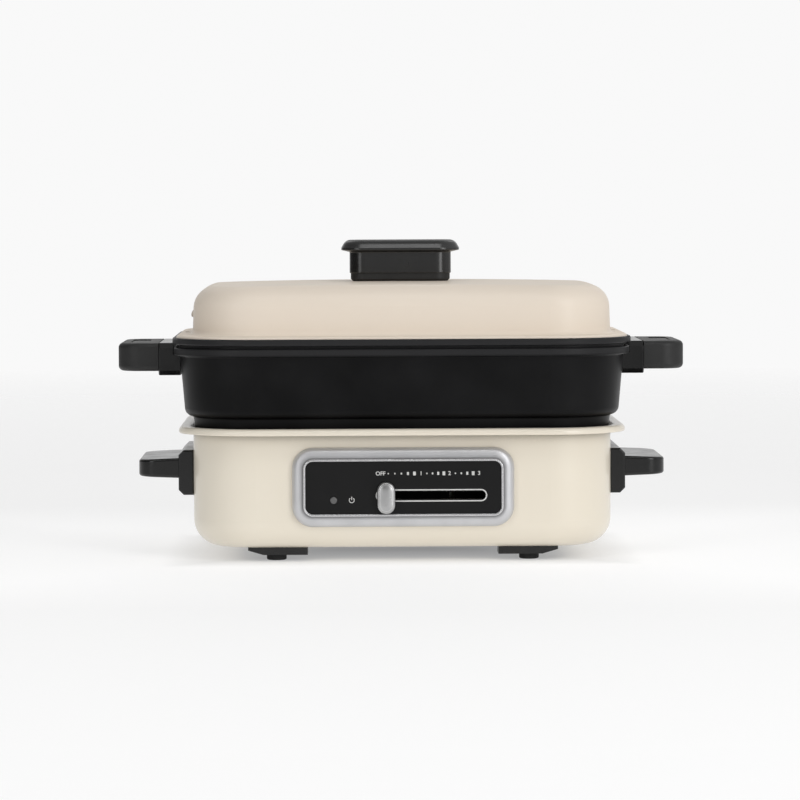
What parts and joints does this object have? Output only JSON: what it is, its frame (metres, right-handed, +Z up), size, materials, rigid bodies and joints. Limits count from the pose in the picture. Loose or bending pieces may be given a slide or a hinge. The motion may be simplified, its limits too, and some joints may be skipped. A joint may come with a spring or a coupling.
{
  "type": "multicooker",
  "caption": "Countertop electric multicooker: cream rounded base with a slide heat control, deep black pot with side handles and a lift-off domed lid with a central knob.",
  "frame": {"origin": "on the table, under the middle of the cooker", "axes": "+Z up; +X along the long side towards the right handles; -Y towards the control panel"},
  "size_m": [0.404, 0.2364, 0.2243],
  "materials": {
    "base_paint": "smooth cream enamel, glossy",
    "lid_paint": "smooth warm cream enamel, satin gloss",
    "pot_coating": "black non-stick coating, fine satin grain",
    "gloss_black": "black moulding, semi-gloss",
    "matt_black": "black moulding, fine spark texture",
    "handle_black": "black moulding, satin gloss",
    "silver": "satin silver metallic",
    "panel_black": "smooth black face",
    "lens_grey": "frosted grey lens",
    "rubber": "soft black rubber",
    "steel": "plain zinc-plated steel",
    "dark_steel": "black oxidised steel",
    "bright_sheet": "bright reflector sheet",
    "element_sheath": "dark oxidised sheath",
    "brass": "plain brass",
    "ceramic": "off-white insulating moulding",
    "nylon": "natural nylon moulding",
    "cover_steel": "plain grey coated sheet",
    "wire_sleeve": "braided heat-proof sleeve",
    "lamp": "small indicator lamp"
  },
  "bodies": {
    "base": {"base_housing": "base_paint", "bottom_cover": "cover_steel", "bottom_screws": "steel", "base_handle_left": "handle_black", "base_handle_right": "handle_black", "base_handle_screws": "steel", "control_bezel": "silver", "control_panel": "panel_black", "indicator_lens": "lens_grey", "indicator_lamp": "lamp", "slide_track": "dark_steel", "thermostat_body": "ceramic", "thermostat_tabs": "brass", "thermostat_bracket": "steel", "bracket_rivets": "steel", "heat_reflector": "bright_sheet", "reflector_brackets": "steel", "heating_element": "element_sheath", "element_clips": "steel", "element_terminals": "brass", "thermal_fuse": "ceramic", "power_inlet": "matt_black", "inlet_pins": "brass", "inner_wiring": "wire_sleeve", "foot_pad_front_left": "matt_black", "foot_peg_front_left": "rubber", "foot_pad_front_right": "matt_black", "foot_peg_front_right": "rubber", "foot_pad_rear_left": "matt_black", "foot_peg_rear_left": "rubber", "foot_pad_rear_right": "matt_black", "foot_peg_rear_right": "rubber"},
    "pot": {"pot_body": "pot_coating", "pot_bracket_left": "gloss_black", "pot_bracket_right": "gloss_black", "pot_grip_left": "matt_black", "pot_grip_right": "matt_black", "pot_handle_screws": "steel"},
    "lid": {"lid_shell": "lid_paint", "knob_base": "matt_black", "knob_body": "gloss_black", "knob_screw": "steel", "knob_washer": "steel"},
    "slide": {"slide_knob": "silver", "slide_rack": "matt_black"},
    "drive": {"thermostat_pinion": "nylon", "thermostat_shaft": "brass"}
  },
  "joints": [
    {"name": "pot_lift", "type": "slide", "parent": "base", "child": "pot", "axis": [0, 0, 1], "range_m": [0, 0.12]},
    {"name": "lid_lift", "type": "slide", "parent": "pot", "child": "lid", "axis": [0, 0, 1], "range_m": [0, 0.12]},
    {"name": "heat_slide", "type": "slide", "parent": "base", "child": "slide", "axis": [1, 0, 0], "range_m": [0, 0.065]},
    {"name": "thermostat_turn", "type": "hinge", "parent": "base", "child": "drive", "pos_m": [0.0205, -0.08349, 0.0475], "axis": [0, 0, 1], "range_deg": [0, 300]}
  ],
  "couplings": [
    {"joint": "thermostat_turn", "follows": "heat_slide", "rad_per_m": 80}
  ]
}
